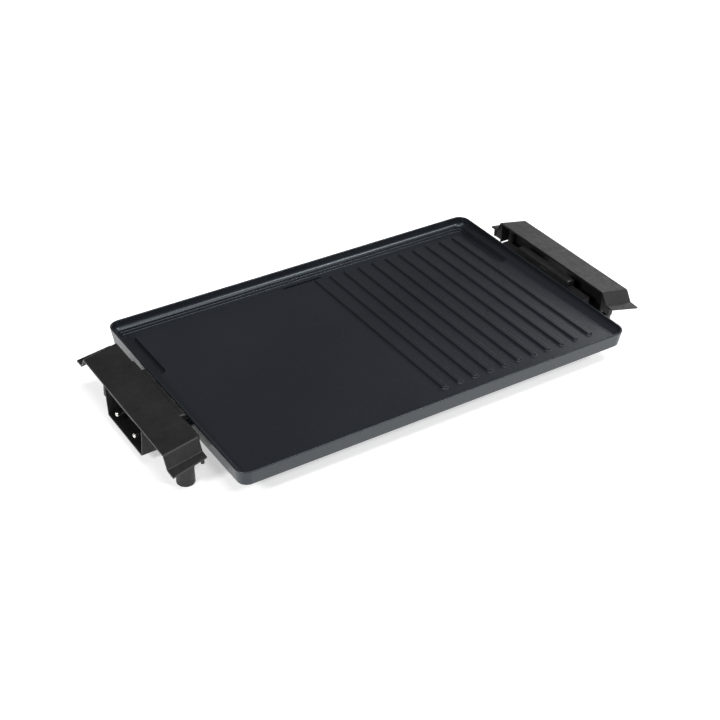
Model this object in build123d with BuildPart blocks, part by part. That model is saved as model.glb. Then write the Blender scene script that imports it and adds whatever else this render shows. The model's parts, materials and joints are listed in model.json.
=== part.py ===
from build123d import *
from math import atan, degrees, radians, sin, cos, tan
import os

# Electric griddle with a cast plate on two handles.
# Frame: millimetres, +X to the right, +Y to the back, +Z up, origin on the table under the
# middle of the plate. The left handle (-X) carries the socket for the plug-in thermostat.

os.makedirs("parts", exist_ok=True)

# ---------------------------------------------------------------- driving dimensions
plate_length = 460.0
plate_width = 293.4
plate_corner = 13.0
rim_z = 41.4                # level top of the rim above the table
rim_thickness = 2.3
skirt_wall = 3.0
skirt_draft = 9.3           # degrees that the outside leans in towards the table
skirt_front_z = 24.0        # lower edge of the skirt at the front
casting_depth = 26.0        # more than the skirt is high, before its edge is cut off
fall = 0.905                # degrees that the cooking surface falls towards the back
floor_thickness = 4.0
front_surface_depth = 6.6   # cooking surface below the rim, just inside the front wall
side_fillet = 6.2
under_moat_floor = 3.0      # metal left under the moat

half_length = plate_length / 2
half_width = plate_width / 2

moat_inner_x = 208.5        # side edges of the raised cooking surface
moat_inner_y = 124.0        # back edge of the raised cooking surface
moat_drop = 4.1             # moat floor below the cooking surface
ledge_drop = 2.05           # narrow ledge round the moat
moat_half_x = 221.0
moat_back_y = 138.8
moat_end_y = 48.5           # where the moat's two legs end
ledge_width = 2.0
drain_x = -2.0
drain_length = 48.0
drain_width = 8.0

rib_count = 11
rib_pitch = 18.66
first_rib_x = 12.0
rib_width = 7.0
rib_height = 2.4
rib_front_y = -125.5
rib_back_y = 122.0

element_z = 24.5
element_radius = 4.0
element_right_x = 185.0
element_left_x = -185.0
element_back_y = 80.0
band_half_width = 6.5       # raised band that the element lies in
band_start_x = -218.0
socket_y = -3.0             # middle of the socket and of the element's loop
element_front_y = 2 * socket_y - element_back_y
clamp_x_offset = 95.0
pin_spacing = 39.6
pin_radius = 2.5
pin_step_x = -252.0         # where the free part of a pin ends and its thicker root begins
pin_root_radius = 2.7
pin_tip_x = -279.0
pin_root_x = -232.0
rear_pin_y = socket_y + pin_spacing / 2
front_pin_y = socket_y - pin_spacing / 2
probe_tube_start_x = -253.0
probe_tube_end_x = -196.0
probe_radius = 4.0
probe_bore = 3.2

socket_mouth_x = -279.2
socket_back_x = -248.0
socket_base_z = 12.0
socket_top_half = 42.6
socket_base_half = 38.6
socket_wall = 1.8
ear_reach = 54.5            # from the middle of the socket to the end of each fixing ear
ear_screw = 50.0
ear_x = -253.0
ear_thickness = 2.4

handle_inner_x = 242.6
handle_outer_x = 279.0
cover_inner_z = 54.0
cover_outer_z = 46.6
cover_wall = 2.0
cover_half = 90.0           # half length of the flat top of a handle cover
cover_step_y = 97.6         # foot of the cover's sloping end
cover_drop = 11.8           # height of the sloping end
cover_inner_reach = 106.0   # half length over all, along the inner edge
cover_outer_reach = 109.0
end_rib_x = 244.0           # stiffening ribs under each end of a cover
end_rib_y = 90.2
end_rib_base_z = 28.5
end_rib_inner_z = 52.4       # top of a rib at its two ends, inside the sloping cover
end_rib_outer_z = 49.4
end_lug_y = 102.2
end_lug_z = 31.0

bracket_x = 233.0           # face of the bracket that looks at the plate
bracket_wall = 2.5
bracket_outer_x = 261.5
bracket_base_z = 21.0
bracket_web = 2.4
block_half = 44.0
block_outer_x = 242.5
shoulder_outer_x = 241.5
block_z = 46.7
shoulder_half = 72.0
shoulder_z = 39.0

foot_x = 254.5
foot_y = 82.0
foot_radius = 9.2
foot_screw_z = 13.0         # depth of the recess for the foot's screw

block_slot_y = -2.5
block_slot_z = 42.4

bracket_screw_y = 36.0
bracket_boss_x = 214.0      # inner end of the bosses for the bracket screws
bracket_screw_z = 27.5
clamp_screw_reach = 10.0    # from the middle of a clamp to each of its screws

tray_x = drain_x
tray_half = 51.5
tray_front_y = 16.0
tray_back_y = 141.0
tray_base_z = 3.0
tray_top_z = 15.6
rail_web_x = 58.5           # from the middle of the tray to the rail's upright web
rail_top_z = 18.5
rail_start_y = 13.0
rail_end_y = 138.0
rail_screw_x = 64.5
rail_screw_ys = (40.0, 112.0)
rail_sheet = 1.2
rail_flange = 5.5           # reach of the carrying flange under the tray's edge
rail_flange_drop = 4.7      # carrying flange below the screwed flange
rail_screwed_flange = 12.0
tray_wall = 1.5

earth_z = 30.7
earth_width = 4.0
earth_inner_y = -39.6
earth_screw_y = -7.0
earth_screw_radius = 1.25

m3_radius = 1.5
m4_radius = 2.0
play = 0.05                 # radial room round every screw in its hole

fall_axis = (0, sin(radians(fall)), cos(radians(fall)))
cooking_plane = Plane(
    origin=(0, -half_width, rim_z - front_surface_depth), x_dir=(1, 0, 0), z_dir=fall_axis
)
skirt_plane = Plane(origin=(0, -half_width, skirt_front_z), x_dir=(1, 0, 0), z_dir=fall_axis)


def surface_z(y):
    """Height of the cooking surface at a distance y from the middle."""
    return cooking_plane.origin.Z - (y + half_width) * tan(radians(fall))


def write(part, name):
    """Label a finished piece and write it under its own name."""
    part.label = name
    export_step(part, f"parts/{name}.step")


# ---------------------------------------------------------------- griddle plate
def moat_outline(half_x, back_y, end_y, inner_x, inner_y, end_radius):
    """A U round the back and the two back corners of the cooking surface."""
    FilletPolyline(
        (-half_x, back_y),
        (half_x, back_y),
        (half_x, end_y),
        (inner_x, end_y),
        (inner_x, inner_y),
        (-inner_x, inner_y),
        (-inner_x, end_y),
        (-half_x, end_y),
        radius=[8, 8, end_radius, end_radius, 2, 2, end_radius, end_radius],
        close=True,
    )


def moat_part(half_x, back_y, end_y, drop):
    """Solid that cuts one level of the moat, with a rounded floor edge."""
    with BuildPart() as cutter:
        with BuildSketch(cooking_plane.offset(-drop)):
            with BuildLine():
                moat_outline(
                    half_x, back_y + half_width, end_y + half_width,
                    moat_inner_x, moat_inner_y + half_width, 5.5,
                )
            make_face()
        extrude(amount=drop + 1)
        fillet(cutter.faces().sort_by(Axis.Z)[0].edges(), 0.8)
    return cutter.part


# Outside of the casting: a drafted block, cut off below by the sloping skirt edge.
with BuildPart() as plate_outside:
    with BuildSketch(Plane(origin=(0, 0, rim_z), z_dir=(0, 0, -1))):
        RectangleRounded(plate_length, plate_width, plate_corner)
    extrude(amount=casting_depth, taper=skirt_draft)
    split(bisect_by=skirt_plane, keep=Keep.TOP)
    fillet(plate_outside.faces().sort_by(Axis.Z)[0].edges(), 1.5)

# Hollow underneath, up to the floor that carries the cooking surface.
with BuildPart() as plate_underside:
    with BuildSketch(Plane(origin=(0, 0, rim_z), z_dir=(0, 0, -1))):
        RectangleRounded(
            plate_length - 2 * skirt_wall, plate_width - 2 * skirt_wall, plate_corner - skirt_wall
        )
    extrude(amount=casting_depth, taper=skirt_draft)
    split(bisect_by=cooking_plane.offset(-floor_thickness), keep=Keep.BOTTOM)
    fillet(plate_underside.faces().sort_by(Axis.Z)[-1].edges(), 2)

# Tray shape above the cooking surface, with a rounded foot all the way round.
with BuildPart() as plate_tray:
    with BuildSketch(cooking_plane):
        with Locations((0, half_width)):
            RectangleRounded(
                plate_length - 2 * rim_thickness,
                plate_width - 2 * rim_thickness,
                plate_corner - rim_thickness,
            )
    extrude(amount=20)
    fillet(plate_tray.faces().sort_by(Axis.Z)[0].edges(), side_fillet)

# Tube run of the heating element, a single loop with both ends at the left.
element_path = FilletPolyline(
    (pin_root_x, rear_pin_y, element_z),
    (element_left_x, rear_pin_y, element_z),
    (element_left_x, element_back_y, element_z),
    (element_right_x, element_back_y, element_z),
    (element_right_x, element_front_y, element_z),
    (element_left_x, element_front_y, element_z),
    (element_left_x, front_pin_y, element_z),
    (pin_root_x, front_pin_y, element_z),
    radius=[20, 20, 40, 40, 20, 20],
)


def tube_along_element(radius):
    """Round bar that follows the element's loop."""
    with BuildPart() as bar:
        with BuildSketch(Plane(origin=element_path @ 0, z_dir=element_path % 0)):
            Circle(radius)
        sweep(path=element_path)
    return bar.part


element_groove = tube_along_element(element_radius + 0.15)

# Raised band under the plate that the element lies in.
with BuildPart() as element_band:
    with BuildSketch(Plane.XY.offset(element_z)):
        with BuildLine():
            element_centre = FilletPolyline(
                (band_start_x, rear_pin_y),
                (element_left_x, rear_pin_y),
                (element_left_x, element_back_y),
                (element_right_x, element_back_y),
                (element_right_x, element_front_y),
                (element_left_x, element_front_y),
                (element_left_x, front_pin_y),
                (band_start_x, front_pin_y),
                radius=[20, 20, 40, 40, 20, 20],
            )
            offset(element_centre, amount=band_half_width, side=Side.BOTH)
        make_face()
    extrude(amount=12)

# Places of the clamps on the loop: middle point and the direction of the tube there.
clamp_places = [
    (-clamp_x_offset, element_back_y, 0),
    (clamp_x_offset, element_back_y, 0),
    (element_right_x, socket_y, 90),
    (-clamp_x_offset, element_front_y, 0),
    (clamp_x_offset, element_front_y, 0),
]

with BuildPart() as griddle_plate:
    add(plate_outside.part)
    add(plate_underside.part, mode=Mode.SUBTRACT)
    # Thicker floor where the moat runs.
    with BuildSketch(cooking_plane.offset(-moat_drop - under_moat_floor)):
        with BuildLine():
            moat_outline(
                moat_half_x + 4, moat_back_y + 4.2 + half_width, moat_end_y - 5.5 + half_width,
                moat_inner_x - 3.5, moat_inner_y - 3.5 + half_width, 6,
            )
        make_face()
    extrude(amount=under_moat_floor + 0.4)
    # Bands, pads and bosses that hang under the floor.
    add(element_band.part & plate_underside.part)
    for clamp_x, clamp_y, turn in clamp_places:
        with BuildSketch(Plane(origin=(clamp_x, clamp_y, element_z), z_dir=(0, 0, 1))):
            with Locations(Location((0, 0), turn)):
                Rectangle(12, 2 * clamp_screw_reach + 9)
        extrude(amount=surface_z(clamp_y) - element_z - 2)
    for side in (-1, 1):
        for boss_y in rail_screw_ys:
            with BuildSketch(Plane.XY.offset(rail_top_z)):
                with Locations((tray_x + side * rail_screw_x, boss_y)):
                    Circle(4.5)
            extrude(amount=surface_z(boss_y) - rail_top_z - 2)
        for boss_y in (-bracket_screw_y, bracket_screw_y):
            with BuildSketch(Plane(origin=(side * bracket_boss_x, boss_y, bracket_screw_z), z_dir=(side, 0, 0))):
                Circle(4)
            extrude(amount=bracket_x - bracket_boss_x)
    # Saddle that the thermostat's probe tube reaches into.
    with BuildSketch(Plane.XY.offset(element_z)):
        with Locations((-203, socket_y)):
            Rectangle(22, 15)
    extrude(amount=surface_z(0) - element_z - 2)
    # Spout under the drain.
    with BuildSketch(Plane.XY.offset(20.4)):
        with Locations((drain_x, moat_inner_y + drain_width / 2)):
            RectangleRounded(drain_length + 8, drain_width + 8, 3)
    extrude(amount=5)
    # The tray, its moat and the drain are cut from above.
    add(plate_tray.part, mode=Mode.SUBTRACT)
    add(
        moat_part(moat_half_x + 1.6, moat_back_y + 2.2, moat_end_y - ledge_width, ledge_drop),
        mode=Mode.SUBTRACT,
    )
    add(moat_part(moat_half_x, moat_back_y, moat_end_y, moat_drop), mode=Mode.SUBTRACT)
    with BuildSketch(Plane.XY.offset(15)):
        with Locations((drain_x, moat_inner_y + drain_width / 2)):
            RectangleRounded(drain_length, drain_width, 2)
    extrude(amount=20, mode=Mode.SUBTRACT)
    # Low lip along the far side of the drain.
    lip_z = surface_z(moat_inner_y + drain_width) - moat_drop
    with BuildSketch(Plane.XY.offset(lip_z - 1)):
        with Locations((drain_x + 0.5, moat_inner_y + drain_width + 0.7)):
            RectangleRounded(drain_length + 3, 1.3, 0.5)
        with Locations((drain_x + drain_length / 2 + 1.2, moat_inner_y + drain_width - 1.6)):
            RectangleRounded(1.4, 4.4, 0.5)
    extrude(amount=1.8)
    # Grooves and screw holes.
    add(element_groove, mode=Mode.SUBTRACT)
    with BuildSketch(Plane(origin=(-216, socket_y, element_z), z_dir=(1, 0, 0))):
        Circle(4.1)
    extrude(amount=30, mode=Mode.SUBTRACT)
    for clamp_x, clamp_y, turn in clamp_places:
        with BuildSketch(Plane(origin=(clamp_x, clamp_y, element_z - 1), z_dir=(0, 0, 1))):
            with Locations(Location((0, 0), turn)):
                with Locations((0, -clamp_screw_reach), (0, clamp_screw_reach)):
                    Circle(m3_radius + play)
        extrude(amount=4.6, mode=Mode.SUBTRACT)
    for side in (-1, 1):
        for boss_y in rail_screw_ys:
            with BuildSketch(Plane.XY.offset(rail_top_z - 1)):
                with Locations((tray_x + side * rail_screw_x, boss_y)):
                    Circle(m3_radius + play)
            extrude(amount=8, mode=Mode.SUBTRACT)
        for boss_y in (-bracket_screw_y, bracket_screw_y):
            with BuildSketch(Plane(origin=(side * (bracket_boss_x + 1.5), boss_y, bracket_screw_z), z_dir=(side, 0, 0))):
                Circle(m4_radius + play)
            extrude(amount=30, mode=Mode.SUBTRACT)
    # Window in the left skirt for the terminals, and the earth screw's hole.
    with BuildSketch(Plane(origin=(-222, socket_y, 24.0), x_dir=(0, -1, 0), z_dir=(-1, 0, 0))):
        Rectangle(56, 10.0)
    extrude(amount=14, mode=Mode.SUBTRACT)
    with BuildSketch(Plane(origin=(-221.6, earth_screw_y, earth_z), z_dir=(-1, 0, 0))):
        Circle(earth_screw_radius + play)
    extrude(amount=12, mode=Mode.SUBTRACT)
    # Ribs for searing on the right half.
    with BuildSketch(cooking_plane):
        for rib in range(rib_count):
            with Locations((first_rib_x + rib * rib_pitch, (rib_front_y + rib_back_y) / 2 + half_width)):
                SlotOverall(rib_back_y - rib_front_y, rib_width, rotation=90)
    extrude(amount=rib_height, taper=17)

    # Soft edges: both sides of the rim, the tops and feet of the ribs.
    rim_top = griddle_plate.faces().filter_by(Plane.XY).sort_by(Axis.Z)[-1]
    fillet(rim_top.outer_wire().edges(), 0.9)
    rim_top = griddle_plate.faces().filter_by(Plane.XY).sort_by(Axis.Z)[-1]
    fillet(rim_top.inner_wires()[0].edges(), 0.7)
    level_faces = griddle_plate.faces().filter_by(cooking_plane)
    rib_plan_area = rib_width * (rib_back_y - rib_front_y)
    rib_tops = level_faces.filter_by(lambda f: 0.6 * rib_plan_area < f.area < rib_plan_area)
    fillet(rib_tops.edges(), 0.9)
    cooking_face = griddle_plate.faces().filter_by(cooking_plane).sort_by(SortBy.AREA)[-1]
    fillet([edge for wire in cooking_face.inner_wires() for edge in wire.edges()], 1.3)

write(griddle_plate.part, "griddle_plate")


# ---------------------------------------------------------------- heating element
with BuildPart() as heating_element:
    add(tube_along_element(element_radius))

write(heating_element.part, "heating_element")

with BuildPart() as element_clamps:
    for clamp_x, clamp_y, turn in clamp_places:
        across = Plane(origin=(clamp_x, clamp_y, element_z), x_dir=(1, 0, 0), z_dir=(0, 0, 1))
        across = across.rotated((0, 0, turn))
        side_view = Plane(origin=across.origin, x_dir=across.y_dir, z_dir=across.x_dir)
        with BuildSketch(side_view):
            with Locations((0, -0.6)):
                Rectangle(2 * clamp_screw_reach + 8, 1.2)
            Circle(element_radius + 1.3)
            with Locations((0, 10)):
                Rectangle(40, 20, mode=Mode.SUBTRACT)
            Circle(element_radius + 0.1, mode=Mode.SUBTRACT)
        extrude(amount=4.5, both=True)
        with BuildSketch(across.offset(-3)):
            with Locations((0, -clamp_screw_reach), (0, clamp_screw_reach)):
                Circle(m3_radius + play)
        extrude(amount=4, mode=Mode.SUBTRACT)

write(element_clamps.part, "element_clamps")


def pan_screw(plane, radius, reach, head_radius, head_height):
    """Pan-head screw: the plane lies under the head, its normal points along the shank."""
    with BuildPart() as screw:
        with BuildSketch(plane):
            Circle(head_radius)
        extrude(amount=-head_height)
        fillet(screw.faces().sort_by(Axis(plane.origin, plane.z_dir))[0].edges(), head_height * 0.45)
        with BuildSketch(plane):
            Circle(radius)
        extrude(amount=reach)
        chamfer(screw.faces().sort_by(Axis(plane.origin, plane.z_dir))[-1].edges(), radius * 0.3)
        with BuildSketch(plane.offset(-head_height)):
            Rectangle(head_radius * 1.1, head_radius * 0.28)
            Rectangle(head_radius * 0.28, head_radius * 1.1)
        extrude(amount=head_height * 0.55, mode=Mode.SUBTRACT)
    return screw.part


with BuildPart() as element_clamp_screws:
    for clamp_x, clamp_y, turn in clamp_places:
        across = Plane(origin=(clamp_x, clamp_y, element_z - 1.2), x_dir=(1, 0, 0), z_dir=(0, 0, 1))
        across = across.rotated((0, 0, turn))
        for reach_side in (-1, 1):
            spot = across.from_local_coords((0, reach_side * clamp_screw_reach, 0))
            add(pan_screw(Plane(origin=spot, z_dir=(0, 0, 1)), m3_radius, 4.4, 2.8, 1.8))

write(element_clamp_screws.part, "element_clamp_screws")


# ---------------------------------------------------------------- terminals
def terminal_pin(y):
    """Domed plug pin with a thicker root, butted against the end of the element."""
    with BuildPart() as pin:
        with BuildSketch(Plane(origin=(pin_root_x, y, element_z), z_dir=(-1, 0, 0))):
            Circle(pin_root_radius)
        extrude(amount=pin_root_x - pin_step_x)
        with BuildSketch(Plane(origin=(pin_step_x, y, element_z), z_dir=(-1, 0, 0))):
            Circle(pin_radius)
        extrude(amount=pin_step_x - pin_tip_x)
        fillet(pin.faces().sort_by(Axis.X)[0].edges(), 1.9)
    return pin.part


write(terminal_pin(rear_pin_y), "terminal_pin_rear")
write(terminal_pin(front_pin_y), "terminal_pin_front")

with BuildPart() as terminal_insulators:
    with BuildSketch(Plane(origin=(pin_root_x - 0.2, 0, element_z), x_dir=(0, -1, 0), z_dir=(-1, 0, 0))):
        with Locations((-rear_pin_y, 0), (-front_pin_y, 0)):
            Circle(4.2)
            Circle(pin_root_radius + play, mode=Mode.SUBTRACT)
    extrude(amount=8)
    chamfer(terminal_insulators.faces().group_by(Axis.X)[0].edges().group_by(SortBy.LENGTH)[-1], 0.6)

write(terminal_insulators.part, "terminal_insulators")

with BuildPart() as probe_guide_tube:
    with BuildSketch(Plane(origin=(probe_tube_start_x, socket_y, element_z), z_dir=(1, 0, 0))):
        Circle(probe_radius)
    extrude(amount=probe_tube_end_x - probe_tube_start_x)
    with BuildSketch(Plane(origin=(probe_tube_start_x, socket_y, element_z), z_dir=(1, 0, 0))):
        Circle(probe_bore)
    extrude(amount=probe_tube_end_x - probe_tube_start_x - 1, mode=Mode.SUBTRACT)

write(probe_guide_tube.part, "probe_guide_tube")


# ---------------------------------------------------------------- socket in the left handle
cover_slope = (cover_inner_z - cover_outer_z) / (handle_outer_x - handle_inner_x)


def cover_under_plane(side, gap):
    """Plane at a distance below the flat top of a handle cover."""
    return Plane(
        origin=(side * handle_outer_x, 0, cover_outer_z - gap), x_dir=(0, side, 0),
        z_dir=(side * cover_slope, 0, 1),
    )


with BuildPart() as socket_housing:
    with BuildSketch(Plane(origin=(socket_mouth_x, socket_y, 0), x_dir=(0, 1, 0), z_dir=(1, 0, 0))):
        with BuildLine():
            FilletPolyline(
                (socket_base_half, socket_base_z),
                (socket_top_half + 1.0, 52.6),
                (-socket_top_half - 1.0, 52.6),
                (-socket_base_half, socket_base_z),
                radius=[0, 0, 1.6, 4.0],
                close=True,
            )
        make_face()
    extrude(amount=socket_back_x - socket_mouth_x, taper=1.2)
    split(bisect_by=cover_under_plane(-1, cover_wall * 1.02 + 0.15), keep=Keep.BOTTOM)
    mouth = socket_housing.faces().sort_by(Axis.X)[0]
    ceiling = socket_housing.faces().sort_by(Axis.Z)[-1]
    offset(amount=-socket_wall, openings=[mouth, ceiling])
    # Ears that are screwed to the bracket from below.
    with BuildSketch(Plane.XY.offset(bracket_base_z - ear_thickness)):
        with Locations((ear_x, socket_y)):
            SlotOverall(2 * ear_reach, 8.0, rotation=90)
            Rectangle(10, 2 * socket_base_half, mode=Mode.SUBTRACT)
            with Locations((0, -ear_screw), (0, ear_screw)):
                Circle(m3_radius + 0.3, mode=Mode.SUBTRACT)
    extrude(amount=ear_thickness)
    # Passages through the back wall.
    with BuildSketch(Plane(origin=(socket_back_x - 4, 0, element_z), x_dir=(0, 1, 0), z_dir=(1, 0, 0))):
        with Locations((rear_pin_y, 0), (front_pin_y, 0)):
            Circle(pin_root_radius + 0.2)
        with Locations((socket_y, 0)):
            Circle(probe_radius + 0.1)
        with Locations((earth_inner_y, earth_z - element_z)):
            Rectangle(1.8, earth_width + 0.8)
    extrude(amount=8, mode=Mode.SUBTRACT)

write(socket_housing.part, "socket_housing")

with BuildPart() as socket_screws:
    for reach_side in (-1, 1):
        spot = (ear_x, socket_y + reach_side * ear_screw, bracket_base_z - ear_thickness)
        add(pan_screw(Plane(origin=spot, z_dir=(0, 0, 1)), m3_radius, 6.0, 2.8, 1.8))

write(socket_screws.part, "socket_screws")

# Spring strip that earths the plate: along the socket's wall, past the front pin, to the skirt.
with BuildPart() as earth_strip:
    with BuildSketch(Plane.XY.offset(earth_z - earth_width / 2)):
        with BuildLine():
            earth_route = FilletPolyline(
                (-271, earth_inner_y + 1.2),
                (-266, earth_inner_y),
                (-247.0, earth_inner_y),
                (-247.0, -12.5),
                (-229.0, -12.5),
                (-229.0, -1.0),
                radius=[3.0, 1.2, 1.2, 1.2],
            )
            offset(earth_route, amount=0.4, side=Side.BOTH)
        make_face()
    extrude(amount=earth_width)
    with BuildSketch(Plane(origin=(-232, earth_screw_y, earth_z), z_dir=(1, 0, 0))):
        Circle(earth_screw_radius + 0.2)
    extrude(amount=6, mode=Mode.SUBTRACT)

write(earth_strip.part, "earth_strip")

with BuildPart() as earth_screw:
    under_head = Plane(origin=(-229.4, earth_screw_y, earth_z), z_dir=(1, 0, 0))
    add(pan_screw(under_head, earth_screw_radius, 6.5, 2.2, 1.6))

write(earth_screw.part, "earth_screw")


# ---------------------------------------------------------------- handles
def handle_bracket(side):
    """Channel between the plate and a handle cover, open underneath where the block is."""
    inner = bracket_x + bracket_wall
    with BuildPart() as bracket:
        # Base web with a pad over each foot.
        with BuildSketch(Plane.XY.offset(bracket_base_z)):
            with Locations(((bracket_x + bracket_outer_x) / 2, 0)):
                Rectangle(bracket_outer_x - bracket_x, 2 * shoulder_half)
            with Locations(((244 + bracket_outer_x) / 2, 0)):
                Rectangle(bracket_outer_x - 244, 2 * foot_y)
            with Locations((foot_x, -foot_y), (foot_x, foot_y)):
                Circle(foot_radius + 0.9)
        extrude(amount=bracket_web)
        # Lengthwise wall under the cover.
        with BuildSketch(Plane.XY.offset(bracket_base_z)):
            with Locations((bracket_outer_x - bracket_wall / 2, 0)):
                Rectangle(bracket_wall, 2 * (foot_y + foot_radius - 3))
        extrude(amount=40)
        split(bisect_by=cover_under_plane(1, cover_wall * 1.02 + 0.15), keep=Keep.BOTTOM)
        # Wall beside the plate, shoulders and the raised block.
        with BuildSketch(Plane.XY.offset(bracket_base_z)):
            with Locations(((bracket_x + shoulder_outer_x) / 2, 0)):
                Rectangle(shoulder_outer_x - bracket_x, 2 * shoulder_half)
        extrude(amount=shoulder_z - bracket_base_z)
        with BuildSketch(Plane.XY.offset(shoulder_z - 2)):
            with Locations(((bracket_x + block_outer_x) / 2, 0)):
                Rectangle(block_outer_x - bracket_x, 2 * block_half)
        extrude(amount=block_z - shoulder_z + 2)
        block_top = bracket.faces().filter_by(Plane.XY).filter_by(lambda f: abs(f.center().Z - block_z) < 0.01)
        chamfer(block_top.edges(), 1.1)
        with BuildSketch(Plane.XY.offset(bracket_base_z + bracket_web)):
            with Locations(((inner + block_outer_x) / 2 + 0.5, 0)):
                Rectangle(block_outer_x - inner + 1, 2 * (shoulder_half - 2))
        extrude(amount=shoulder_z - 2 - bracket_base_z - bracket_web, mode=Mode.SUBTRACT)
        with BuildSketch(Plane.XY.offset(shoulder_z - 3)):
            with Locations(((inner + block_outer_x) / 2 + 0.5, 0)):
                Rectangle(block_outer_x - inner + 1, 2 * (block_half - 2.2))
        extrude(amount=block_z - 1.8 - shoulder_z + 3, mode=Mode.SUBTRACT)
        # Slot through the block's wall, thinned behind it, and the opening under it.
        with BuildSketch(Plane(origin=(inner + 1, block_slot_y, block_slot_z), z_dir=(-1, 0, 0))):
            Rectangle(5.0, 16.0)
        extrude(amount=bracket_wall - 0.2, mode=Mode.SUBTRACT)
        with BuildSketch(Plane(origin=(bracket_x - 1, block_slot_y, block_slot_z), x_dir=(0, 1, 0), z_dir=(1, 0, 0))):
            RectangleRounded(13.0, 4.4, 0.8)
        extrude(amount=bracket_wall + 2, mode=Mode.SUBTRACT)
        with BuildSketch(Plane.XY.offset(bracket_base_z - 1)):
            with Locations((248, 15)):
                RectangleRounded(16, 42, 3)
        extrude(amount=bracket_web + 2, mode=Mode.SUBTRACT)
        # Screw holes.
        with BuildSketch(Plane(origin=(bracket_x - 1, 0, bracket_screw_z), x_dir=(0, 1, 0), z_dir=(1, 0, 0))):
            with Locations((-bracket_screw_y, 0), (bracket_screw_y, 0)):
                Circle(m4_radius + play)
        extrude(amount=bracket_wall + 2, mode=Mode.SUBTRACT)
        with BuildSketch(Plane.XY.offset(bracket_base_z - 1)):
            with Locations((foot_x, -foot_y), (foot_x, foot_y)):
                Circle(m4_radius + play)
        extrude(amount=bracket_web + 2, mode=Mode.SUBTRACT)
        if side < 0:
            mirror(about=Plane.YZ, mode=Mode.REPLACE)
    return bracket.part


with BuildPart() as right_handle_bracket:
    add(handle_bracket(1))

with BuildPart() as left_handle_bracket:
    add(handle_bracket(-1))
    # Bay for the socket and its terminals.
    with BuildSketch(Plane.XY.offset(bracket_base_z - 1)):
        with Locations(((socket_back_x + 1.8 - 263) / 2, socket_y)):
            Rectangle(263 + socket_back_x + 1.8, 2 * socket_top_half + 4.0)
    extrude(amount=40, mode=Mode.SUBTRACT)
    with BuildSketch(Plane.XY.offset(bracket_base_z - 1)):
        with Locations((-240, socket_y)):
            Rectangle(16, 56)
    extrude(amount=13.5, mode=Mode.SUBTRACT)
    with BuildSketch(Plane.XY.offset(bracket_base_z - 1)):
        with Locations((ear_x, socket_y - ear_screw), (ear_x, socket_y + ear_screw)):
            Circle(m3_radius + play)
    extrude(amount=bracket_web + 2, mode=Mode.SUBTRACT)

write(left_handle_bracket.part, "left_handle_bracket")
write(right_handle_bracket.part, "right_handle_bracket")


def cover_profile(x, top_z, reach):
    """Cross-section of a handle cover, seen along the X axis."""
    with BuildSketch(Plane(origin=(x, 0, top_z), x_dir=(0, 1, 0), z_dir=(1, 0, 0))) as profile:
        with BuildLine():
            skin = FilletPolyline(
                (-reach, -cover_drop - 0.6),
                (-cover_step_y, -cover_drop),
                (-cover_half, 0),
                (cover_half, 0),
                (cover_step_y, -cover_drop),
                (reach, -cover_drop - 0.6),
                radius=[1.2, 3.0, 3.0, 1.2],
            )
            offset(skin, amount=cover_wall, side=Side.RIGHT)
        make_face()
    return profile.sketch


def handle_cover(side):
    """Thin shell of a handle: sloping top, turned-down ends, screw bosses and end lugs."""
    with BuildPart() as cover:
        loft([
            cover_profile(handle_inner_x, cover_inner_z, cover_inner_reach).face(),
            cover_profile(handle_outer_x, cover_outer_z, cover_outer_reach).face(),
        ], ruled=True)
        for inner_edge in (True, False):
            flat_top = cover.faces().filter_by(lambda f: f.normal_at().Z > 0.9).sort_by(SortBy.AREA)[-1]
            long_edges = flat_top.edges().group_by(SortBy.LENGTH)[-1].sort_by(Axis.X)
            fillet(long_edges[0] if inner_edge else long_edges[-1], 0.6)
        with BuildSketch(Plane.XY.offset(bracket_base_z + bracket_web)):
            with Locations((foot_x, -foot_y), (foot_x, foot_y)):
                Circle(4.2)
        extrude(amount=50.0 - bracket_base_z - bracket_web)
        # Ribs that close each end: one across, one along the inner edge, with a lug.
        for end in (-1, 1):
            with BuildSketch(Plane(origin=(0, end * end_rib_y, 0), x_dir=(1, 0, 0), z_dir=(0, -1, 0))):
                with BuildLine():
                    Polyline(
                        (end_rib_x, end_rib_base_z),
                        (bracket_outer_x - bracket_wall - 0.5, end_rib_base_z),
                        (bracket_outer_x - bracket_wall - 0.5, end_rib_outer_z),
                        (end_rib_x, end_rib_inner_z),
                        close=True,
                    )
                make_face()
            extrude(amount=2.0 * end)
            with BuildSketch(Plane(origin=(end_rib_x, 0, 0), x_dir=(0, 1, 0), z_dir=(1, 0, 0))):
                with BuildLine():
                    Polyline(
                        (end * (end_rib_y - 1.5), end_lug_z),
                        (end * (end_lug_y - 1.0), end_lug_z),
                        (end * (end_lug_y - 1.0), 40.6),
                        (end * (cover_step_y - 1.0), 41.6),
                        (end * (end_rib_y - 1.5), 52.2),
                        close=True,
                    )
                make_face()
            extrude(amount=1.8)
            with BuildSketch(Plane.XY.offset(end_lug_z)):
                with Locations((end_rib_x + 0.9, end * (end_lug_y - 1.7))):
                    RectangleRounded(3.4, 3.4, 1.2)
            extrude(amount=9.5)
        with BuildSketch(Plane.XY.offset(bracket_base_z)):
            with Locations((foot_x, -foot_y), (foot_x, foot_y)):
                Circle(m4_radius + play)
        extrude(amount=23, mode=Mode.SUBTRACT)
        if side < 0:
            mirror(about=Plane.YZ, mode=Mode.REPLACE)
    return cover.part


with BuildPart() as right_handle_cover:
    add(handle_cover(1))

with BuildPart() as left_handle_cover:
    add(handle_cover(-1))
    # Low lip over the socket's mouth.
    with BuildSketch(Plane.XY.offset(43.3)):
        with Locations((-handle_outer_x + 1.1, 1.5)):
            Rectangle(1.8, 57)
    extrude(amount=2.0)

write(left_handle_cover.part, "left_handle_cover")
write(right_handle_cover.part, "right_handle_cover")


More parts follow.
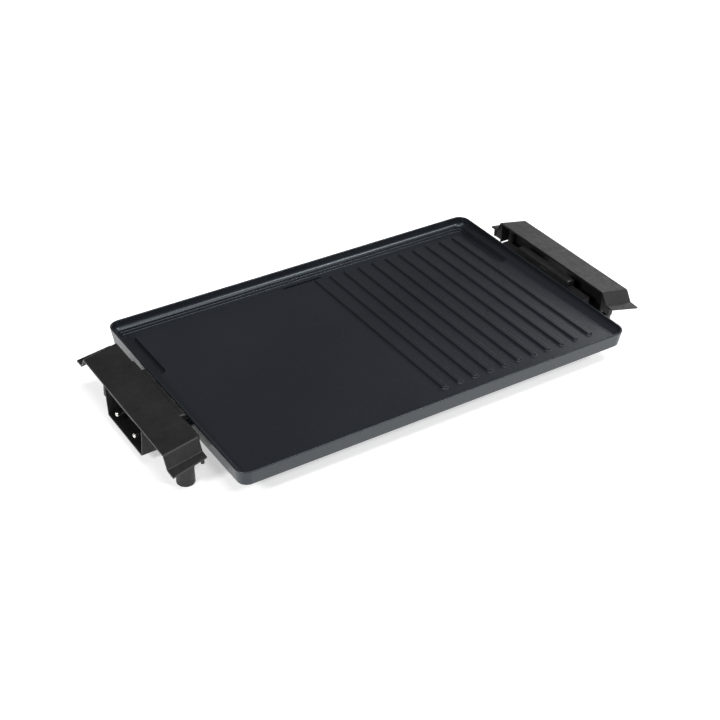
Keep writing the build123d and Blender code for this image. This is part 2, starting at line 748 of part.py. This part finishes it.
# ---------------------------------------------------------------- feet and handle screws
def foot_post(x, y):
    """Round post with a deep recess for its screw."""
    with BuildPart() as post:
        with BuildSketch(Plane.XY):
            with Locations((x, y)):
                Circle(foot_radius)
        extrude(amount=bracket_base_z, taper=1.6)
        fillet(post.faces().sort_by(Axis.Z)[0].edges(), 1.4)
        with Locations((x, y, 0)):
            CounterBoreHole(m4_radius + play, 3.9, foot_screw_z)
    return post.part


for foot_name, x_side, y_side in (
    ("foot_front_left", -1, -1),
    ("foot_rear_left", -1, 1),
    ("foot_front_right", 1, -1),
    ("foot_rear_right", 1, 1),
):
    write(foot_post(x_side * foot_x, y_side * foot_y), foot_name)

for side_name, side in (("left", -1), ("right", 1)):
    with BuildPart() as foot_screws:
        for y_side in (-1, 1):
            under_head = Plane(origin=(side * foot_x, y_side * foot_y, foot_screw_z), z_dir=(0, 0, 1))
            add(pan_screw(under_head, m4_radius, 30.0, 3.6, 2.4))
    write(foot_screws.part, f"{side_name}_foot_screws")
    with BuildPart() as bracket_screws:
        for y_side in (-1, 1):
            under_head = Plane(
                origin=(side * (bracket_x + bracket_wall), y_side * bracket_screw_y, bracket_screw_z),
                z_dir=(-side, 0, 0),
            )
            add(pan_screw(under_head, m4_radius, 18.0, 3.3, 2.2))
    write(bracket_screws.part, f"{side_name}_bracket_screws")


# ---------------------------------------------------------------- drip tray and its rails
with BuildPart() as drip_tray:
    with BuildSketch(Plane.XY.offset(tray_base_z)):
        with Locations((tray_x, (tray_front_y + tray_back_y) / 2)):
            RectangleRounded(2 * tray_half, tray_back_y - tray_front_y, 6)
    extrude(amount=tray_top_z - tray_base_z)
    fillet(drip_tray.faces().sort_by(Axis.Z)[0].edges(), 2.5)
    offset(amount=-tray_wall, openings=drip_tray.faces().sort_by(Axis.Z)[-1])
    with BuildSketch(Plane.XY.offset(tray_top_z - tray_wall)):
        with Locations((tray_x, (tray_front_y + tray_back_y) / 2)):
            RectangleRounded(2 * tray_half + 12, tray_back_y - tray_front_y, 3)
            RectangleRounded(2 * tray_half - 3, tray_back_y - tray_front_y - 3, 4.5, mode=Mode.SUBTRACT)
    extrude(amount=tray_wall)
    # Front with a turned-down pull.
    with BuildSketch(Plane(origin=(tray_x, tray_back_y - 0.7, 0), x_dir=(1, 0, 0), z_dir=(0, 1, 0))):
        with Locations((0, -10.4)):
            RectangleRounded(114, 14.0, 3)
    extrude(amount=2.0)
    with BuildSketch(Plane(origin=(tray_x - 24, 0, 0), x_dir=(0, 1, 0), z_dir=(1, 0, 0))):
        with BuildLine():
            pull = FilletPolyline((141.8, 13.0), (145.2, 13.0), (145.6, 7.5), radius=1.2)
            offset(pull, amount=0.75, side=Side.BOTH)
        make_face()
    extrude(amount=48)

write(drip_tray.part, "drip_tray")


def tray_rail(side):
    """Folded steel rail: screwed flange outside, carrying flange inside, stop at the inner end."""
    flange_base_z = rail_top_z - rail_flange_drop - rail_sheet
    with BuildPart() as rail:
        with BuildSketch(Plane(origin=(tray_x, rail_start_y, 0), x_dir=(side, 0, 0), z_dir=(0, 1, 0))):
            with BuildLine():
                Polyline(
                    (rail_web_x, -side * rail_top_z),
                    (rail_web_x + rail_screwed_flange, -side * rail_top_z),
                    (rail_web_x + rail_screwed_flange, -side * (rail_top_z - rail_sheet)),
                    (rail_web_x + rail_sheet, -side * (rail_top_z - rail_sheet)),
                    (rail_web_x + rail_sheet, -side * flange_base_z),
                    (rail_web_x - rail_flange, -side * flange_base_z),
                    (rail_web_x - rail_flange, -side * (flange_base_z + rail_sheet)),
                    (rail_web_x, -side * (flange_base_z + rail_sheet)),
                    close=True,
                )
            make_face()
        extrude(amount=rail_end_y - rail_start_y)
        with BuildSketch(Plane.XY.offset(flange_base_z)):
            with Locations((tray_x + side * (rail_web_x - 2.15), rail_start_y + rail_sheet / 2)):
                Rectangle(rail_flange + rail_sheet, rail_sheet)
        extrude(amount=4.5)
        with BuildSketch(Plane.XY.offset(rail_top_z - 2)):
            with Locations(*[(tray_x + side * rail_screw_x, y) for y in rail_screw_ys]):
                Circle(m3_radius + play)
        extrude(amount=4, mode=Mode.SUBTRACT)
    return rail.part


write(tray_rail(-1), "tray_rail_left")
write(tray_rail(1), "tray_rail_right")

with BuildPart() as tray_rail_screws:
    for side in (-1, 1):
        for screw_y in rail_screw_ys:
            spot = (tray_x + side * rail_screw_x, screw_y, rail_top_z - rail_sheet)
            add(pan_screw(Plane(origin=spot, z_dir=(0, 0, 1)), m3_radius, 6.5, 2.8, 1.8))

write(tray_rail_screws.part, "tray_rail_screws")
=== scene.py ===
import json
import math
import bpy
from mathutils import Matrix, Vector

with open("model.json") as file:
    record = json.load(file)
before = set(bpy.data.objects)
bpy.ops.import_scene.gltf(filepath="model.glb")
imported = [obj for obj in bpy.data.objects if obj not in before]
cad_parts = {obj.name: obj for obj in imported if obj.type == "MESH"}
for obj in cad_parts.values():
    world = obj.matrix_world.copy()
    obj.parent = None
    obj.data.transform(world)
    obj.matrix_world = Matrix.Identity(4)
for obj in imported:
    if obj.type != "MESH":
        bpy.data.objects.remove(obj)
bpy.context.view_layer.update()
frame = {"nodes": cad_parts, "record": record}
NODES = frame["nodes"]

# ------------------------------------------------------------------ view
CAMERA_AT = Vector((-0.6780, -1.0187, 0.8425))
CAMERA_AZIMUTH = 33.33          # degrees to the left of looking straight along +Y
CAMERA_ELEVATION = 34.57
CAMERA_ROLL = 1.266
LENS = 70.0
SENSOR = 36.0


def make_camera():
    """Camera at the height and angle of a product shot, from the front left."""
    azimuth = math.radians(CAMERA_AZIMUTH)
    elevation = math.radians(CAMERA_ELEVATION)
    forward = Vector((
        math.cos(elevation) * math.sin(azimuth),
        math.cos(elevation) * math.cos(azimuth),
        -math.sin(elevation),
    ))
    level_right = forward.cross(Vector((0, 0, 1))).normalized()
    level_up = level_right.cross(forward)
    roll = math.radians(CAMERA_ROLL)
    right = level_right * math.cos(roll) + level_up * math.sin(roll)
    up = right.cross(forward)
    turn = Matrix((right, up, -forward)).transposed().to_4x4()
    data = bpy.data.cameras.new("view_camera")
    data.lens = LENS
    data.sensor_width = SENSOR
    camera = bpy.data.objects.new("view_camera", data)
    camera.matrix_world = Matrix.Translation(CAMERA_AT) @ turn
    bpy.context.scene.collection.objects.link(camera)
    bpy.context.scene.camera = camera


# ------------------------------------------------------------------ node helpers
class Shader:
    """A material with a Principled shader and short calls for the nodes that feed it."""

    def __init__(self, name):
        self.material = bpy.data.materials.new(name)
        self.material.use_nodes = True
        self.tree = self.material.node_tree
        self.tree.nodes.clear()
        self.output = self.tree.nodes.new("ShaderNodeOutputMaterial")
        self.principled = self.tree.nodes.new("ShaderNodeBsdfPrincipled")
        self.link(self.principled.outputs["BSDF"], self.output.inputs["Surface"])
        self.place = self.tree.nodes.new("ShaderNodeTexCoord").outputs["Object"]

    def link(self, source, target):
        self.tree.links.new(source, target)

    def set(self, **values):
        for name, value in values.items():
            self.principled.inputs[name.replace("_", " ")].default_value = value

    def stretched(self, scale):
        node = self.tree.nodes.new("ShaderNodeMapping")
        node.inputs["Scale"].default_value = scale
        self.link(self.place, node.inputs["Vector"])
        return node.outputs["Vector"]

    def noise(self, scale, detail=2.0, roughness=0.5, vector=None):
        node = self.tree.nodes.new("ShaderNodeTexNoise")
        node.inputs["Scale"].default_value = scale
        node.inputs["Detail"].default_value = detail
        node.inputs["Roughness"].default_value = roughness
        self.link(vector or self.place, node.inputs["Vector"])
        return node.outputs["Fac"]

    def cells(self, scale):
        node = self.tree.nodes.new("ShaderNodeTexVoronoi")
        node.inputs["Scale"].default_value = scale
        self.link(self.place, node.inputs["Vector"])
        return node.outputs["Distance"]

    def ramp(self, source, stops):
        node = self.tree.nodes.new("ShaderNodeValToRGB")
        ramp = node.color_ramp
        while len(ramp.elements) < len(stops):
            ramp.elements.new(0.5)
        for element, (position, value) in zip(ramp.elements, stops):
            colour = value if isinstance(value, tuple) else (value, value, value)
            element.position = position
            element.color = (*colour, 1.0)
        self.link(source, node.inputs["Fac"])
        return node.outputs["Color"]

    def remap(self, source, low, high, in_low=0.3, in_high=0.7):
        node = self.tree.nodes.new("ShaderNodeMapRange")
        node.inputs["From Min"].default_value = in_low
        node.inputs["From Max"].default_value = in_high
        node.inputs["To Min"].default_value = low
        node.inputs["To Max"].default_value = high
        self.link(source, node.inputs["Value"])
        return node.outputs["Result"]

    def mix(self, factor, first, second, blend="MIX"):
        node = self.tree.nodes.new("ShaderNodeMix")
        node.data_type = "RGBA"
        node.blend_type = blend
        for name, value in (("Factor", factor), ("A", first), ("B", second)):
            socket = node.inputs[name]
            if isinstance(value, (int, float)):
                socket.default_value = value
            elif isinstance(value, tuple):
                socket.default_value = (*value, 1.0)
            else:
                self.link(value, socket)
        return node.outputs["Result"]

    def bump(self, height, distance, strength=1.0, below=None):
        node = self.tree.nodes.new("ShaderNodeBump")
        node.inputs["Distance"].default_value = distance
        node.inputs["Strength"].default_value = strength
        self.link(height, node.inputs["Height"])
        if below is not None:
            self.link(below, node.inputs["Normal"])
        return node.outputs["Normal"]

    def feed(self, **sources):
        for name, source in sources.items():
            self.link(source, self.principled.inputs[name.replace("_", " ")])


# ------------------------------------------------------------------ materials
def coated_aluminium():
    """Sprayed dark non-stick coating on a cast plate."""
    s = Shader("coated_aluminium")
    broad = s.noise(7.0, 3.0)
    speckle = s.noise(1500.0, 2.0, 0.6)
    flecks = s.cells(900.0)
    base = s.ramp(broad, [(0.35, (0.0098, 0.0112, 0.0146)), (0.65, (0.0122, 0.0138, 0.0176))])
    base = s.mix(s.remap(speckle, 0.0, 0.4, 0.55, 0.75), base, (0.024, 0.027, 0.034))
    base = s.mix(s.remap(flecks, 0.25, 0.0, 0.04, 0.16), base, (0.045, 0.050, 0.058))
    rough = s.remap(s.noise(420.0, 3.0), 0.27, 0.36)
    peel = s.noise(950.0, 2.0, 0.55)
    normal = s.bump(peel, 0.00003, 0.18)
    normal = s.bump(s.noise(260.0, 2.0), 0.00006, 0.08, normal)
    s.feed(Base_Color=base, Roughness=rough, Normal=normal)
    s.set(Specular_IOR_Level=0.42, Specular_Tint=(0.80, 0.92, 1.0, 1.0))
    return s.material


def moulded_plastic(name, low, high, roughness):
    """Matt spark-eroded grain of a heat-proof plastic moulding."""
    s = Shader(name)
    base = s.ramp(s.noise(28.0, 4.0, 0.55), [(0.35, low), (0.65, high)])
    rough = s.remap(s.noise(160.0, 3.0), roughness - 0.06, roughness + 0.06)
    grain = s.noise(1900.0, 2.0, 0.6)
    normal = s.bump(grain, 0.00008, 0.45)
    normal = s.bump(s.noise(45.0, 2.0), 0.0004, 0.12, normal)
    s.feed(Base_Color=base, Roughness=rough, Normal=normal)
    s.set(Specular_IOR_Level=0.42)
    return s.material


def worked_metal(name, low, high, roughness, grain_scale=(60.0, 900.0, 900.0), depth=0.00003):
    """Plated or drawn metal with faint directional lines."""
    s = Shader(name)
    lines = s.noise(1.0, 4.0, 0.6, s.stretched(grain_scale))
    base = s.ramp(s.noise(90.0, 4.0), [(0.3, low), (0.7, high)])
    rough = s.remap(lines, roughness - 0.08, roughness + 0.10)
    s.feed(Base_Color=base, Roughness=rough, Normal=s.bump(lines, depth, 0.5))
    s.set(Metallic=1.0)
    return s.material


def glazed_ceramic():
    s = Shader("ceramic_white")
    base = s.ramp(s.noise(300.0, 4.0), [(0.3, (0.66, 0.63, 0.55)), (0.7, (0.80, 0.78, 0.71))])
    rough = s.remap(s.noise(500.0), 0.22, 0.38)
    s.feed(Base_Color=base, Roughness=rough, Normal=s.bump(s.noise(700.0), 0.00005, 0.3))
    return s.material


def black_enamel():
    s = Shader("tray_enamel")
    base = s.ramp(s.noise(40.0, 4.0), [(0.35, (0.010, 0.010, 0.011)), (0.65, (0.018, 0.018, 0.019))])
    base = s.mix(s.remap(s.cells(700.0), 0.5, 0.0, 0.02, 0.10), base, (0.10, 0.10, 0.10))
    rough = s.remap(s.noise(120.0), 0.16, 0.30)
    s.feed(Base_Color=base, Roughness=rough, Normal=s.bump(s.noise(350.0), 0.00012, 0.3))
    return s.material


def floor_material():
    s = Shader("floor_paint")
    base = s.ramp(s.noise(1.5, 3.0), [(0.3, (0.86, 0.86, 0.86)), (0.7, (0.89, 0.89, 0.89))])
    s.feed(Base_Color=base, Roughness=s.remap(s.noise(30.0), 0.75, 0.9))
    s.set(Specular_IOR_Level=0.1, Emission_Color=(1.0, 1.0, 1.0, 1.0), Emission_Strength=0.5)
    return s.material


def dress_nodes():
    """Give every carried-over CAD node the material of its slot."""
    looks = {
        "coated_aluminium": coated_aluminium(),
        "handle_plastic": moulded_plastic(
            "handle_plastic", (0.0075, 0.0075, 0.008), (0.0125, 0.0125, 0.013), 0.48,
        ),
        "socket_plastic": moulded_plastic(
            "socket_plastic", (0.005, 0.005, 0.006), (0.008, 0.008, 0.009), 0.55,
        ),
        "element_steel": worked_metal("element_steel", (0.10, 0.085, 0.07), (0.24, 0.22, 0.19), 0.45),
        "zinc_steel": worked_metal("zinc_steel", (0.50, 0.51, 0.52), (0.68, 0.68, 0.67), 0.32),
        "nickel": worked_metal("nickel", (0.66, 0.64, 0.60), (0.80, 0.78, 0.73), 0.22),
        "ceramic_white": glazed_ceramic(),
        "earth_brass": worked_metal("earth_brass", (0.55, 0.40, 0.18), (0.72, 0.56, 0.30), 0.3),
        "tray_enamel": black_enamel(),
    }
    slot_of = {part["node"]: part["material_slot"] for part in frame["record"]["subparts"]}
    for name, node in NODES.items():
        node.data.materials.clear()
        node.data.materials.append(looks[slot_of[name]])


# ------------------------------------------------------------------ stage and light
FLOOR_HALF = 6.0
FLOOR_Z = -0.0002               # just under the feet


def make_floor():
    mesh = bpy.data.meshes.new("floor")
    corners = [(-FLOOR_HALF, -FLOOR_HALF), (FLOOR_HALF, -FLOOR_HALF),
               (FLOOR_HALF, FLOOR_HALF), (-FLOOR_HALF, FLOOR_HALF)]
    mesh.from_pydata([(x, y, FLOOR_Z) for x, y in corners], [], [(0, 1, 2, 3)])
    mesh.materials.append(floor_material())
    floor = bpy.data.objects.new("floor", mesh)
    bpy.context.scene.collection.objects.link(floor)


def softbox(name, at, width, height, watts):
    """White area light that looks at the middle of the griddle."""
    data = bpy.data.lights.new(name, "AREA")
    data.shape = "RECTANGLE"
    data.size = width
    data.size_y = height
    data.energy = watts
    light = bpy.data.objects.new(name, data)
    turn = (-at).to_track_quat("-Z", "Y").to_matrix().to_4x4()
    light.matrix_world = Matrix.Translation(at) @ turn
    bpy.context.scene.collection.objects.link(light)


def make_light():
    world = bpy.data.worlds.new("studio")
    world.use_nodes = True
    background = world.node_tree.nodes["Background"]
    background.inputs["Color"].default_value = (1.0, 1.0, 1.0, 1.0)
    background.inputs["Strength"].default_value = 0.13
    bpy.context.scene.world = world
    softbox("left", Vector((-2.2, -0.9, 1.7)), 0.45, 0.45, 38)
    softbox("right", Vector((1.5, -2.0, 1.9)), 0.45, 0.45, 42)
    softbox("overhead", Vector((0.1, -0.7, 2.3)), 1.8, 1.2, 40)
    softbox("right_back", Vector((2.4, 1.3, 1.3)), 1.2, 1.0, 12)


make_camera()
dress_nodes()
make_floor()
make_light()
bpy.context.scene.view_settings.view_transform = "Standard"
